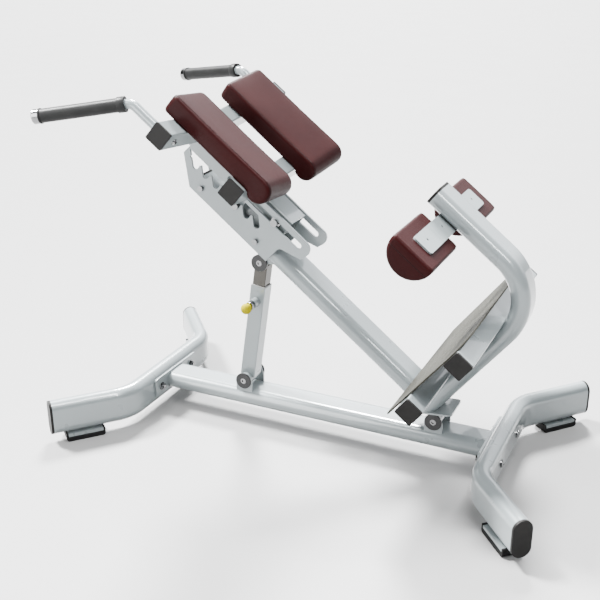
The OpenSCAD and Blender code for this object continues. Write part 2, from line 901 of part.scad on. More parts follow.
module lock_pin() {
  color([0.84, 0.84, 0.85]) on_boom() translate([lock_pin_s, 0, lock_pin_h]) {
    rod_y(lock_pin_d, head_y - 1);
    both() disc_y(18, plate_out + 1, head_y);
  }
}

module slot_bolt() {
  color([0.84, 0.84, 0.85]) on_boom() translate([slot_bolt_s, 0, slot_h + 0.3]) {
    rod_y(15.8, head_y - 1);
    both() disc_y(20, plate_out + 1, head_y);
    both() difference() {
      disc_y(28, box_half + 0.1, plate_y - 1);
      disc_y(16.4, box_half - 1, plate_y);
    }
  }
}

module pad_backs() {
  color([0.20, 0.20, 0.20]) on_boom() both() on_bar(0)
    translate([0, (hip_in + hip_out) / 2, square_side / 2 + sm]) linear_extrude(height = 3)
    translate([(hip_roll_s + hip_top) / 2 + 9, 0])
    rect2(hip_top - hip_roll_s - 36, hip_out - hip_in - 24, 8);
}

module hip_pad_shape() {
  f0 = square_side / 2 + 3 + 2 * sm;
  f1 = square_side / 2 + hip_thick;
  on_boom() on_bar(0) slab_y(hip_in, hip_out - hip_in) {
    rounded2([[hip_roll_s, f0], [hip_top, f0], [hip_top, f1], [hip_roll_s, f1]], [0.5, 6, 10, 0.5]);
    translate([hip_roll_s, f1 - hip_roll_r]) circle(r = hip_roll_r);
  }
}

module hip_pad_left() {
  color([0.33, 0.11, 0.11]) hip_pad_shape();
}

module hip_pad_right() {
  color([0.33, 0.11, 0.11]) mirror([0, 1, 0]) hip_pad_shape();
}

// the left handle, in the frame of the object
handle_s0 = upper_bar_s + square_side / 2 + 0.1;
corner = [-389, -handle_y, 957];
dir_a = [-cos(boom_angle), 0, sin(boom_angle)];
dir_b = unit([-0.941, -0.299, -0.157]);
turn = acos(dir_a * dir_b);
reach = handle_r * tan(turn / 2);
bend_axis = unit(cross(dir_a, dir_b));
bend_out = cross(dir_a, bend_axis);
bend_start = corner - reach * dir_a;
bend_mid = bend_start - handle_r * bend_out;
ax_t = acos(bend_axis[2]);
ax_p = atan2(bend_axis[1], bend_axis[0]);
ref_x = [cos(ax_t) * cos(ax_p), cos(ax_t) * sin(ax_p), -sin(ax_t)];
ref_y = [-sin(ax_p), cos(ax_p), 0];
bend_from = atan2(bend_out * ref_y, bend_out * ref_x);
stub_len = (corner - [tilt_x, 0, pivot_z]) * dir_a - handle_s0 - reach;

module along_dir(p, d) {
  translate(p) rotate([0, acos(d[2]), atan2(d[1], d[0])]) children();
}

module ring2(d, t) {
  difference() {
    circle(d = d);
    circle(d = d - 2 * t);
  }
}

// three lengths of one tube, met end to end
module handle_shape() {
  along_dir(bend_start - stub_len * dir_a, dir_a)
    linear_extrude(height = stub_len - 0.02) ring2(handle_d, 2.5);
  translate(bend_mid) rotate([0, ax_t, ax_p]) rotate([0, 0, bend_from])
    rotate_extrude(angle = turn) translate([handle_r, 0]) ring2(handle_d, 2.5);
  along_dir(corner + (reach + 0.02) * dir_b, dir_b)
    linear_extrude(height = 38 + grip_len - reach) ring2(handle_d, 2.5);
}

module handle_left() {
  color([0.80, 0.83, 0.84]) handle_shape();
}

module handle_right() {
  color([0.80, 0.83, 0.84]) mirror([0, 1, 0]) handle_shape();
}

module grips() {
  color([0.07, 0.07, 0.07]) both() along_dir(corner + 35 * dir_b, dir_b) difference() {
    cylinder(d = grip_d, h = grip_len);
    translate([0, 0, -1]) cylinder(d = handle_d + 0.2, h = grip_len + 2);
  }
}

module grip_collars() {
  color([0.07, 0.07, 0.07]) both() difference() {
    union() {
      along_dir(corner + 15.2 * dir_b, dir_b) cylinder(d = grip_d + 4.5, h = 19.6);
      along_dir(corner + (35.2 + grip_len) * dir_b, dir_b) cylinder(d = grip_d + 4, h = 4);
    }
    along_dir(corner + 10 * dir_b, dir_b) cylinder(d = handle_d + 0.2, h = grip_len + 60);
  }
}

module grip_ends() {
  color([0.88, 0.88, 0.89]) both() along_dir(corner + (39.4 + grip_len) * dir_b, dir_b) {
    cylinder(d = grip_d + 2, h = 15);
    translate([0, 0, 14.9]) cylinder(d1 = grip_d + 2, d2 = grip_d - 4, h = 3);
    translate([0, 0, -22]) cylinder(d = handle_d - 5.4, h = 23);
  }
}

module handle_bolts() {
  color([0.80, 0.80, 0.81]) on_boom() both()
    translate([upper_bar_s - square_side / 2, 272, bar_h + 272 * tan(bar_slope)])
    rotate([0, -90, 0]) difference() {
      union() {
        translate([0, 0, sm]) cylinder(d = 17, h = 1.6);
        translate([0, 0, 1.6]) cylinder(d1 = 14, d2 = 10, h = 4.5);
      }
      translate([0, 0, 3]) cylinder(d = 6.9, h = 6, $fn = 6);
    }
}

front_foot_tube();
rear_foot_tube();
foot_tube_caps();
foot_pad_plates();
rubber_feet();
spine_beam();
bolt_plates();
foot_bolts();
strut_bracket();
tilt_bracket();
base_pivot_shafts();
base_pivot_discs();
base_pivot_bolts();
boom_tube();
boom_end_cap();
gooseneck_tube();
gooseneck_end_cap();
stop_plate();
tilt_hub();
strut_top_bracket();
strut_top_shaft();
strut_top_discs();
strut_top_bolts();
side_plate_left();
side_plate_right();
plate_rods();
lower_foot_bar();
upper_foot_bar();
foot_bar_caps();
foot_plate();
ankle_plate();
ankle_bolts();
ankle_pad_left();
ankle_pad_right();
strut_outer_tube();
strut_lower_hub();
strut_sleeve();
pin_housing();
pin_collar();
strut_inner_tube();
strut_upper_hub();
pin_plunger();
pin_knob();
carriage_box();
carriage_caps();
lock_pin_lugs();
lock_pin();
slot_bolt();
upper_pad_bar();
lower_pad_bar();
pad_backs();
hip_pad_left();
hip_pad_right();
handle_left();
handle_right();
grips();
grip_collars();
grip_ends();
handle_bolts();
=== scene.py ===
import json
import math

import bmesh
import bpy
from mathutils import Matrix, Vector
from mathutils.kdtree import KDTree


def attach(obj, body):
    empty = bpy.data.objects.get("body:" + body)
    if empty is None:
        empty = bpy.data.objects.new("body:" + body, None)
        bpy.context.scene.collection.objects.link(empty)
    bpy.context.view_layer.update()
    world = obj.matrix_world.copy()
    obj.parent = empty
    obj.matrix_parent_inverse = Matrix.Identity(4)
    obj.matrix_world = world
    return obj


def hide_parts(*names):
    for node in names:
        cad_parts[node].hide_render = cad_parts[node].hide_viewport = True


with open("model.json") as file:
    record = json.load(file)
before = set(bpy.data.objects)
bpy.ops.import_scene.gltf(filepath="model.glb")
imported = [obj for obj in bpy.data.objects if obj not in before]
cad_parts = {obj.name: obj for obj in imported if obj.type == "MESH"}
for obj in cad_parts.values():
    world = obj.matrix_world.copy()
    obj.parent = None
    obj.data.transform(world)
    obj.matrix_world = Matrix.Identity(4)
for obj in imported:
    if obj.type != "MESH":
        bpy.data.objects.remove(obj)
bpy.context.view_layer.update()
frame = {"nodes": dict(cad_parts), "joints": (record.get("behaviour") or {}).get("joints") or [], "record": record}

NODES = frame["nodes"]

# ---------------------------------------------------------------- measures, in metres

# the hip pads, in the bar frame: x up the boom, y outwards, z off the bars' middle
HIP_IN, HIP_OUT = 0.078, 0.2387
HIP_UNDER, HIP_FACE = 0.0262, 0.075
HIP_TOP = 1.0305
ROLL_X, ROLL_R, ROLL_TURN = 0.717, 0.031, 217
HIP_EDGE, HIP_CORNER = 0.0070, 0.013
FACE_ROUND, UNDER_ROUND = 0.009, 0.008
HIP_SEAM_IN, HIP_GROOVE, HIP_PIPING = 0.0060, 0.0010, 0.0013
# the underside is kept off the bars, from just before the lower one, and off the steel back
OFF_BARS_FROM, OFF_BARS = 0.7365, 0.0253
RECESS_FROM, RECESS_TO, RECESS_RIM, OFF_BACK = 0.7405, 1.0240, 0.0088, 0.0284

# the ankle pads, in the boom frame
ANKLE_IN, ANKLE_OUT = 0.080, 0.276
ANKLE_S, ANKLE_H, ANKLE_R, ANKLE_DEEP = 0.3395, 0.4338, 0.0605, 0.0095
ANKLE_EDGE, ANKLE_ROUND = 0.010, 0.008
ANKLE_SEAM_IN, ANKLE_GROOVE, ANKLE_PIPING = 0.0095, 0.0008, 0.0010
CHORD_HALF, CHORD_H = 0.0590, 0.4098

# pads start this much larger, because the remesh and smoothing shrink them
REMESH_LOSS = 0.0014
VOXEL, PRESSURE, SWELL_CAP = 0.0042, 3.5, 0.0012
SEAM_STEP, GROOVE_WIDE = 0.0012, 0.0020

# ---------------------------------------------------------------- the boom's own frame
JOINT = {j["name"]: j for j in frame["joints"]}
PIVOT = Vector(JOINT["boom_tilt"]["pos_m"])
BOOM = math.radians(38.11)
UP_BOOM = Vector((-math.cos(BOOM), 0, math.sin(BOOM)))
OFF_BOOM = Vector((math.sin(BOOM), 0, math.cos(BOOM)))
BAR_SLOPE = math.radians(8.9)
BAR_H = 0.158


def boom_matrix():
    m = Matrix.Identity(4)
    for i, axis in enumerate((UP_BOOM, Vector((0, -1, 0)), OFF_BOOM)):
        for k in range(3):
            m[k][i] = axis[k]
    m.translation = PIVOT
    return m


M_BOOM = boom_matrix()
M_BAR = M_BOOM @ Matrix.Translation((0, 0, BAR_H)) @ Matrix.Rotation(BAR_SLOPE, 4, "X")

# ---------------------------------------------------------------- materials


BLACK, WHITE = (0, 0, 0), (1, 1, 1)


class Mat:
    """A material with short ways to add nodes."""

    def __init__(self, name):
        self.m = bpy.data.materials.new(name)
        self.m.use_nodes = True
        self.t = self.m.node_tree
        self.bsdf = self.t.nodes["Principled BSDF"]
        self.coord = self.t.nodes.new("ShaderNodeTexCoord")
        self.obj = self.coord.outputs["Object"]

    def set(self, **kw):
        for key, value in kw.items():
            self.bsdf.inputs[key.replace("_", " ")].default_value = value
        return self

    def link(self, a, b):
        self.t.links.new(a, b)

    def node(self, kind, **kw):
        n = self.t.nodes.new("ShaderNode" + kind)
        for key, value in kw.items():
            setattr(n, key, value)
        return n

    def noise(self, scale, detail=2.0, rough=0.5, vector=None):
        n = self.node("TexNoise")
        n.inputs["Scale"].default_value = scale
        n.inputs["Detail"].default_value = detail
        n.inputs["Roughness"].default_value = rough
        self.link(vector or self.obj, n.inputs["Vector"])
        return n.outputs["Fac"]

    def voronoi(self, scale, feature="F1", vector=None):
        n = self.node("TexVoronoi", feature=feature)
        n.inputs["Scale"].default_value = scale
        self.link(vector or self.obj, n.inputs["Vector"])
        return n.outputs["Distance"]

    def math(self, op, a, b=None, c=None, clamp=False):
        n = self.node("Math", operation=op, use_clamp=clamp)
        for i, v in enumerate((a, b, c)):
            if v is None:
                continue
            if isinstance(v, (int, float)):
                n.inputs[i].default_value = v
            else:
                self.link(v, n.inputs[i])
        return n.outputs[0]

    def ramp(self, fac, stops):
        n = self.node("ValToRGB")
        el = n.color_ramp.elements
        while len(el) < len(stops):
            el.new(0.5)
        for e, (p, c) in zip(el, stops):
            e.position = p
            e.color = (*c, 1) if len(c) == 3 else c
        self.link(fac, n.inputs["Fac"])
        return n.outputs["Color"]

    def span(self, fac, a, b, lo=0.0, hi=1.0):
        n = self.node("MapRange")
        n.inputs["From Min"].default_value = lo
        n.inputs["From Max"].default_value = hi
        n.inputs["To Min"].default_value = a
        n.inputs["To Max"].default_value = b
        self.link(fac, n.inputs["Value"])
        return n.outputs["Result"]

    def mix(self, fac, a, b):
        n = self.node("Mix", data_type="RGBA")
        for i, v in ((0, fac), (6, a), (7, b)):
            if isinstance(v, (int, float)):
                n.inputs[i].default_value = v
            elif isinstance(v, tuple):
                n.inputs[i].default_value = (*v, 1)
            else:
                self.link(v, n.inputs[i])
        return n.outputs[2]

    def bump(self, height, strength, distance, below=None):
        n = self.node("Bump")
        n.inputs["Strength"].default_value = strength
        n.inputs["Distance"].default_value = distance
        self.link(height, n.inputs["Height"])
        if below is not None:
            self.link(below, n.inputs["Normal"])
        self.link(n.outputs["Normal"], self.bsdf.inputs["Normal"])
        return n.outputs["Normal"]

    def to(self, socket, name):
        self.link(socket, self.bsdf.inputs[name])

    def boom_space(self):
        """Object coordinates turned so that x runs up the boom and z off it."""
        n = self.node("Mapping")
        n.inputs["Rotation"].default_value = (0, -BOOM, 0)
        self.link(self.obj, n.inputs["Vector"])
        s = self.node("SeparateXYZ")
        self.link(n.outputs["Vector"], s.inputs["Vector"])
        return s.outputs


def coat_material(name, color, dark):
    """Gloss powder coat: faint orange peel, tone drift, and a little dust low down."""
    m = Mat(name)
    tone = m.noise(3.5, 3, 0.55)
    fine = m.noise(900, 2, 0.6)
    c = m.mix(m.span(tone, 0.2, 0.8, 0.35, 0.65), color, dark)
    speck = m.ramp(m.noise(2600, 1, 0.4), [(0.0, BLACK), (0.62, BLACK), (0.72, WHITE)])
    c = m.mix(m.math("MULTIPLY", speck, 0.10), c, tuple(min(1, v * 1.25) for v in color))
    sep = m.node("SeparateXYZ")
    m.link(m.obj, sep.inputs["Vector"])
    low = m.span(sep.outputs["Z"], 0.10, 0.0, 0.02, 0.11)
    dust = m.math("MULTIPLY", low, m.noise(45, 4, 0.7), clamp=True)
    c = m.mix(m.math("MULTIPLY", dust, 0.5), c, (0.21, 0.205, 0.19))
    m.to(c, "Base Color")
    scuff = m.ramp(m.noise(22, 6, 0.75), [(0.0, BLACK), (0.60, BLACK), (0.78, WHITE)])
    rough = m.span(m.noise(11, 3, 0.6), 0.27, 0.31, 0.3, 0.7)
    m.to(m.math("ADD", rough, m.math("MULTIPLY", scuff, 0.01)), "Roughness")
    m.set(Metallic=0.15, Coat_Weight=1.0, Coat_Roughness=0.05, Coat_IOR=1.42, IOR=1.4)
    m.bump(fine, 0.06, 0.0003)
    return m.m


def leather_material():
    """Maroon upholstery leather with a pebbled grain and slight handling wear."""
    m = Mat("maroon_leather")
    warp = m.noise(60, 3, 0.6)
    grain = m.voronoi(620)
    creases = m.voronoi(300, "DISTANCE_TO_EDGE")
    drift = m.noise(9, 4, 0.6)
    c = m.ramp(drift, [(0.28, (0.0110, 0.0007, 0.0009)), (0.72, (0.0150, 0.0012, 0.0013))])
    pit = m.ramp(grain, [(0.0, WHITE), (0.55, BLACK)])
    c = m.mix(m.math("MULTIPLY", pit, 0.22), c, (0.026, 0.0036, 0.0036))
    speck = m.ramp(m.noise(1500, 2, 0.6), [(0.0, BLACK), (0.58, BLACK), (0.74, WHITE)])
    c = m.mix(m.math("MULTIPLY", speck, 0.30), c, (0.052, 0.014, 0.013))
    m.to(c, "Base Color")
    uneven = m.math("ADD", m.math("MULTIPLY", drift, 0.6), m.math("MULTIPLY", grain, 0.5))
    m.to(m.span(uneven, 0.36, 0.54, 0.2, 0.8), "Roughness")
    height = m.math("SUBTRACT", m.math("MULTIPLY", creases, 0.7), m.math("MULTIPLY", grain, 0.5))
    b = m.bump(warp, 0.12, 0.0012)
    m.bump(height, 0.34, 0.0007, b)
    m.set(Sheen_Weight=0.01, Sheen_Roughness=0.5, Coat_Weight=0.03, Coat_Roughness=0.22, IOR=1.125)
    return m.m


def thread_material():
    m = Mat("maroon_thread")
    twist = m.noise(2400, 2, 0.6)
    c = m.ramp(twist, [(0.3, (0.0045, 0.0004, 0.0005)), (0.7, (0.009, 0.0009, 0.0010))])
    m.to(c, "Base Color")
    m.to(m.span(twist, 0.5, 0.7, 0.3, 0.7), "Roughness")
    m.bump(twist, 0.4, 0.0003)
    m.set(Sheen_Weight=0.05, IOR=1.15)
    return m.m


def plastic_material(name, a, b, rough, grain, depth, ior=1.2):
    """Moulded plastic or rubber with a spark-eroded grain."""
    m = Mat(name)
    drift = m.noise(30, 4, 0.6)
    fine = m.noise(grain, 2, 0.55)
    m.to(m.mix(m.span(drift, 0, 1, 0.3, 0.7), a, b), "Base Color")
    uneven = m.math("ADD", m.math("MULTIPLY", drift, 0.6), m.math("MULTIPLY", fine, 0.4))
    m.to(m.span(uneven, rough - 0.05, rough + 0.08, 0.3, 0.7), "Roughness")
    m.set(IOR=ior)
    m.bump(fine, 0.30, depth)
    return m.m


def metal_material(name, a, b, rough, stretch=(1, 1, 1), scale=220, depth=0.00012):
    """Metal with brushing along one axis and faint stains."""
    m = Mat(name)
    mp = m.node("Mapping")
    mp.inputs["Scale"].default_value = stretch
    m.link(m.obj, mp.inputs["Vector"])
    brush = m.noise(scale, 3, 0.65, mp.outputs["Vector"])
    stain = m.noise(26, 4, 0.6)
    tint = m.math("ADD", m.math("MULTIPLY", brush, 0.5), m.math("MULTIPLY", stain, 0.5))
    m.to(m.mix(m.span(tint, 0, 1, 0.35, 0.65), a, b), "Base Color")
    uneven = m.math("ADD", m.math("MULTIPLY", brush, 0.6), m.math("MULTIPLY", stain, 0.4))
    m.to(m.span(uneven, rough * 0.75, rough * 1.35, 0.3, 0.7), "Roughness")
    m.set(Metallic=1.0)
    m.bump(brush, 0.25, depth)
    return m.m


RIB_HALF = 0.0035
HOLE_DY, HOLE_DZ, HOLE_R = 0.035, 0.015, 0.004


def tread_material():
    """Tread plate with painted shade in its colour: fine ribs up the plate and rows of small punched holes."""
    m = Mat("ribbed_aluminium_painted_shade")
    _, y, z = m.boom_space()
    rib = m.math("PINGPONG", m.math("ADD", y, 5.0), RIB_HALF)
    rib = m.math("DIVIDE", rib, RIB_HALF)
    groove = m.ramp(rib, [(0.0, BLACK), (0.28, WHITE)])
    dy = m.math("SUBTRACT", m.math("PINGPONG", m.math("ADD", y, 5.0), HOLE_DY), HOLE_DY / 2)
    dz = m.math("SUBTRACT", m.math("PINGPONG", m.math("ADD", z, 5.0), HOLE_DZ), HOLE_DZ / 2)
    r = m.math("SQRT", m.math("ADD", m.math("MULTIPLY", dy, dy), m.math("MULTIPLY", dz, dz)))
    hole = m.ramp(m.math("DIVIDE", r, HOLE_R), [(0.0, WHITE), (0.55, WHITE), (0.70, BLACK)])
    tone = m.noise(14, 4, 0.6)
    brush_map = m.node("Mapping")
    brush_map.inputs["Rotation"].default_value = (0, -BOOM, 0)
    brush_map.inputs["Scale"].default_value = (40, 40, 1)
    m.link(m.obj, brush_map.inputs["Vector"])
    brush = m.noise(30, 3, 0.6, brush_map.outputs["Vector"])
    # painted shade: the plate's base colour is made dark and warm grey to stand for shade falling on the plate
    c = m.mix(m.span(tone, 0, 1, 0.3, 0.7), (0.026, 0.0255, 0.0212), (0.034, 0.0335, 0.0285))
    c = m.mix(m.math("MULTIPLY", m.math("SUBTRACT", 1.0, groove), 0.5), c, (0.05, 0.049, 0.042))
    c = m.mix(m.math("MULTIPLY", hole, 0.95), c, (0.003, 0.003, 0.003))
    m.to(c, "Base Color")
    m.to(m.span(brush, 0.50, 0.64, 0.3, 0.7), "Roughness")
    m.set(Metallic=0.1, IOR=1.08)
    b = m.bump(m.math("ADD", groove, m.math("MULTIPLY", hole, -1.5)), 0.5, 0.0006)
    m.bump(brush, 0.15, 0.0002, b)
    return m.m


MATERIAL = {
    "frame_coat": coat_material(
        "silver_white_coat", (0.180, 0.205, 0.211), (0.168, 0.191, 0.197)),
    "hub_coat": coat_material(
        "silver_white_coat_hub", (0.156, 0.178, 0.184), (0.145, 0.165, 0.171)),
    "cap_plastic": plastic_material(
        "black_cap_plastic", (0.006, 0.0058, 0.0056), (0.010, 0.0095, 0.0092),
        0.46, 1400, 0.0002),
    "foot_rubber": plastic_material(
        "black_foot_rubber", (0.005, 0.005, 0.005), (0.009, 0.0088, 0.0086),
        0.62, 800, 0.0004),
    "grip_rubber": plastic_material(
        "black_grip_rubber", (0.0105, 0.0107, 0.0107), (0.015, 0.0152, 0.0152),
        0.38, 1300, 0.0003, ior=1.18),
    "zinc_steel": metal_material(
        "zinc_steel", (0.18, 0.184, 0.188), (0.23, 0.234, 0.236), 0.32),
    "bolt_chrome": metal_material(
        "bolt_chrome", (0.19, 0.19, 0.193), (0.25, 0.25, 0.253), 0.12, scale=420),
    "disc_steel": metal_material(
        "dark_disc_steel", (0.034, 0.034, 0.0345), (0.048, 0.048, 0.0485),
        0.38, (1, 8, 1), 300),
    # painted reflection: the strut chrome's base colour is made dark brown-grey to stand for the dark surroundings
    # the chrome mirrors
    "inner_chrome": metal_material(
        "strut_chrome_painted_dark_reflection", (0.055, 0.052, 0.047), (0.072, 0.068, 0.062),
        0.20, (14, 14, 0.6), 60),
    "sleeve_nylon": plastic_material(
        "white_nylon", (0.27, 0.268, 0.26), (0.30, 0.298, 0.29), 0.45, 900, 0.0002),
    "tread_aluminium": tread_material(),
    "pad_leather": leather_material(),
    "knob_plastic": plastic_material(
        "yellow_knob_plastic", (0.25, 0.215, 0.0), (0.28, 0.24, 0.0),
        0.34, 700, 0.0001, ior=1.08),
    "back_steel": plastic_material(
        "satin_black_steel", (0.02, 0.02, 0.02), (0.03, 0.03, 0.03), 0.40, 1000, 0.0001),
}
THREAD = thread_material()

for part in frame["record"]["subparts"]:
    o = NODES[part["node"]]
    o.data.materials.clear()
    o.data.materials.append(MATERIAL[part["material_slot"]])

# ---------------------------------------------------------------- soft edges on the rigid nodes


def soft_edges(names, width, segments=2):
    """Welds the node's corners and rounds its sharp edges, as modifiers only."""
    for name in names:
        o = NODES[name]
        w = o.modifiers.new("weld", "WELD")
        w.merge_threshold = 0.00002
        b = o.modifiers.new("edge", "BEVEL")
        b.width = width
        b.segments = segments
        b.limit_method = "ANGLE"
        b.angle_limit = math.radians(50)
        b.harden_normals = False
        b.use_clamp_overlap = True


# ---------------------------------------------------------------- mesh helpers


def new_object(name, bm, material, smooth=True):
    me = bpy.data.meshes.new(name)
    bm.to_mesh(me)
    bm.free()
    me.materials.append(material)
    if smooth:
        me.polygons.foreach_set("use_smooth", [True] * len(me.polygons))
    o = bpy.data.objects.new(name, me)
    bpy.context.scene.collection.objects.link(o)
    return o


def arc(cx, cy, r, a0, a1, n):
    return [(cx + r * math.cos(math.radians(a0 + (a1 - a0) * i / n)),
             cy + r * math.sin(math.radians(a0 + (a1 - a0) * i / n))) for i in range(n + 1)]


def prism(outline, y0, y1, round_ends):
    """A closed prism of an (x, z) outline from y0 to y1, its two end edges rounded."""
    bm = bmesh.new()
    low = [bm.verts.new((x, y0, z)) for x, z in outline]
    high = [bm.verts.new((x, y1, z)) for x, z in outline]
    n = len(outline)
    ends = [bm.faces.new(low), bm.faces.new(list(reversed(high)))]
    for i in range(n):
        k = (i + 1) % n
        bm.faces.new((low[k], low[i], high[i], high[k]))
    bmesh.ops.recalc_face_normals(bm, faces=bm.faces)
    edges = [e for f in ends for e in f.edges]
    bmesh.ops.bevel(bm, geom=edges, offset=round_ends, segments=4, profile=0.5,
                    affect="EDGES", clamp_overlap=True)
    return bm


def only(o):
    bpy.ops.object.select_all(action="DESELECT")
    o.select_set(True)
    bpy.context.view_layer.objects.active = o


def inflate(o, voxel, pressure, cap, frames=20):
    """Voxel remesh, a short pressure cloth run with capped movement, one subdivision."""
    only(o)
    mod = o.modifiers.new("remesh", "REMESH")
    mod.mode = "VOXEL"
    mod.voxel_size = voxel
    mod.adaptivity = 0
    mod.use_smooth_shade = True
    bpy.ops.object.modifier_apply(modifier="remesh")
    sm = o.modifiers.new("smooth", "SMOOTH")
    sm.factor = 0.5
    sm.iterations = 1
    bpy.ops.object.modifier_apply(modifier="smooth")
    start = [v.co.copy() for v in o.data.vertices]
    mod = o.modifiers.new("cloth", "CLOTH")
    s = mod.settings
    s.quality = 6
    s.mass = 0.35
    s.tension_stiffness = 25
    s.compression_stiffness = 25
    s.shear_stiffness = 12
    s.bending_stiffness = 6
    s.air_damping = 2
    s.use_pressure = True
    s.uniform_pressure_force = pressure
    s.effector_weights.gravity = 0
    mod.collision_settings.use_collision = False
    mod.collision_settings.use_self_collision = False
    scene = bpy.context.scene
    scene.frame_start, scene.frame_end = 1, frames
    mod.point_cache.frame_start, mod.point_cache.frame_end = 1, frames
    for f in range(1, frames + 1):
        scene.frame_set(f)
    dg = bpy.context.evaluated_depsgraph_get()
    e = o.evaluated_get(dg)
    moved = [v.co.copy() for v in e.data.vertices]
    o.modifiers.remove(mod)
    scene.frame_set(1)
    push = [b - a for a, b in zip(start, moved)]
    push = [d * min(1.0, cap / max(d.length, 1e-9)) for d in push]
    pairs = [tuple(e.vertices) for e in o.data.edges]
    # the capped movement is evened out over the mesh, so that the skin stays smooth
    for _ in range(30):
        total, count = [d.copy() for d in push], [1] * len(push)
        for i, k in pairs:
            total[i] += push[k]
            total[k] += push[i]
            count[i] += 1
            count[k] += 1
        push = [t / n for t, n in zip(total, count)]
    for v, a, d in zip(o.data.vertices, start, push):
        v.co = a + d
    sub = o.modifiers.new("sub", "SUBSURF")
    sub.levels = sub.render_levels = 1
    bpy.ops.object.modifier_apply(modifier="sub")


def seam_points(outline, inset):
    """The outline moved inwards by inset, as a closed list of (x, z)."""
    n = len(outline)
    out = []
    for i in range(n):
        p, a, b = Vector(outline[i]), Vector(outline[i - 1]), Vector(outline[(i + 1) % n])
        t = (b - a).normalized()
        out.append(p + Vector((-t.y, t.x)) * inset)
    return out


def resample(points, step):
    """Evenly spaced points round a closed line."""
    n = len(points)
    length = sum((points[(i + 1) % n] - points[i]).length for i in range(n))
    count = max(8, int(length / step))
    out, i, done = [], 0, 0.0
    seg = (points[1] - points[0]).length
    for k in range(count):
        want = length * k / count
        while done + seg < want:
            done += seg
            i += 1
            seg = (points[(i + 1) % n] - points[i % n]).length
        f = (want - done) / max(seg, 1e-9)
        out.append(points[i % n].lerp(points[(i + 1) % n], f))
    return out


def cut_groove(o, lines, width, depth):
    """Presses a groove along closed lines of 3-D points into a fine mesh."""
    pts = [p for line in lines for p in line]
    tree = KDTree(len(pts))
    for i, p in enumerate(pts):
        tree.insert(p, i)
    tree.balance()
    o.data.update()
    move = []
    for v in o.data.vertices:
        _, _, d = tree.find(v.co)
        if d < width * 3:
            move.append((v, v.normal.copy() * -depth * math.exp(-(d / width) ** 2)))
    for v, m in move:
        v.co += m


def piping(name, o, lines, radius, closed=True):
    """Thin piping, sunk a little into o's surface along lines of 3-D points."""
    bm = bmesh.new()
    for line in lines:
        spots = []
        for p in line:
            _, loc, nor, _ = o.closest_point_on_mesh(p)
            spots.append((loc - nor * radius * 0.25, nor))
        n, rings = len(spots), []
        for i, (p, nor) in enumerate(spots):
            a = spots[i - 1][0] if closed or i else p
            b = spots[(i + 1) % n][0] if closed or i + 1 < n else p
            side = nor.cross((b - a).normalized()).normalized()
            rings.append([bm.verts.new(p + (side * math.cos(t) + nor * math.sin(t)) * radius)
                          for t in (math.pi * k / 4 for k in range(8))])
        for i in range(n if closed else n - 1):
            a, b = rings[i], rings[(i + 1) % n]
            for k in range(8):
                bm.faces.new((a[k], a[(k + 1) % 8], b[(k + 1) % 8], b[k]))
        if not closed:
            bm.faces.new(rings[0])
            bm.faces.new(list(reversed(rings[-1])))
    bmesh.ops.recalc_face_normals(bm, faces=bm.faces)
    return new_object(name, bm, THREAD)


def place(o, matrix, body, mirrored=False):
    """Bakes the matrix into the mesh, mirrors it over Y if asked, and rides it on body."""
    if mirrored:
        matrix = Matrix.Diagonal((1, -1, 1, 1)) @ matrix
    o.data.transform(matrix)
    if mirrored:
        o.data.flip_normals()
    o.data.update()
    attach(o, body)


def copy_of(o, name):
    c = o.copy()
    c.data = o.data.copy()
    c.name = name
    bpy.context.scene.collection.objects.link(c)
    return c


# ---------------------------------------------------------------- hip pads
LEATHER = MATERIAL["pad_leather"]


def hip_outline(grow, short=0.0):
    """Side view of a hip pad in the bar frame: flat, with a rolled lower end."""
    f0, f1 = HIP_UNDER - grow, HIP_FACE + grow
    top, r = HIP_TOP + grow - short, ROLL_R + grow
    pts = arc(top - FACE_ROUND, f1 - FACE_ROUND, FACE_ROUND, 0, 90, 5)
    pts += arc(ROLL_X, HIP_FACE - ROLL_R, r, 90, 90 + ROLL_TURN, 22)
    pts.append((ROLL_X + ROLL_R, f0))
    pts += arc(top - UNDER_ROUND, f0 + UNDER_ROUND, UNDER_ROUND, 270, 360, 4)
    return pts


def loft(sections):
    """A closed skin through outlines of equal length, given as (y, outline)."""
    bm = bmesh.new()
    rings = [[bm.verts.new((x, y, z)) for x, z in outline] for y, outline in sections]
    n = len(rings[0])
    bm.faces.new(rings[0])
    bm.faces.new(list(reversed(rings[-1])))
    for a, b in zip(rings, rings[1:]):
        for i in range(n):
            k = (i + 1) % n
            bm.faces.new((a[k], a[i], b[i], b[k]))
    bmesh.ops.recalc_face_normals(bm, faces=bm.faces)
    return bm


def hip_sections(e0, e1, grow, edge, corner):
    """Slices across a pad, its long edges rounded by edge and its upper corners by corner."""
    out = []
    half, mid = (e1 - e0) / 2, (e0 + e1) / 2
    marks = [edge * (1 - math.cos(math.radians(a))) for a in (0, 15, 30, 45, 60, 75, 90)]
    marks += [edge + (corner - edge) * k / 6 for k in range(1, 7)]
    marks = [m for m in marks if m < half] + [half]
    for side in (-1, 1):
        for d in marks if side < 0 else list(reversed(marks))[1:]:
            inset = edge - math.sqrt(max(0.0, edge ** 2 - (edge - min(d, edge)) ** 2))
            cut = corner - math.sqrt(max(0.0, corner ** 2 - (corner - min(d, corner)) ** 2))
            outline = hip_outline(grow - inset, max(0.0, cut - inset))
            out.append((mid + side * (half - d), outline))
    return out


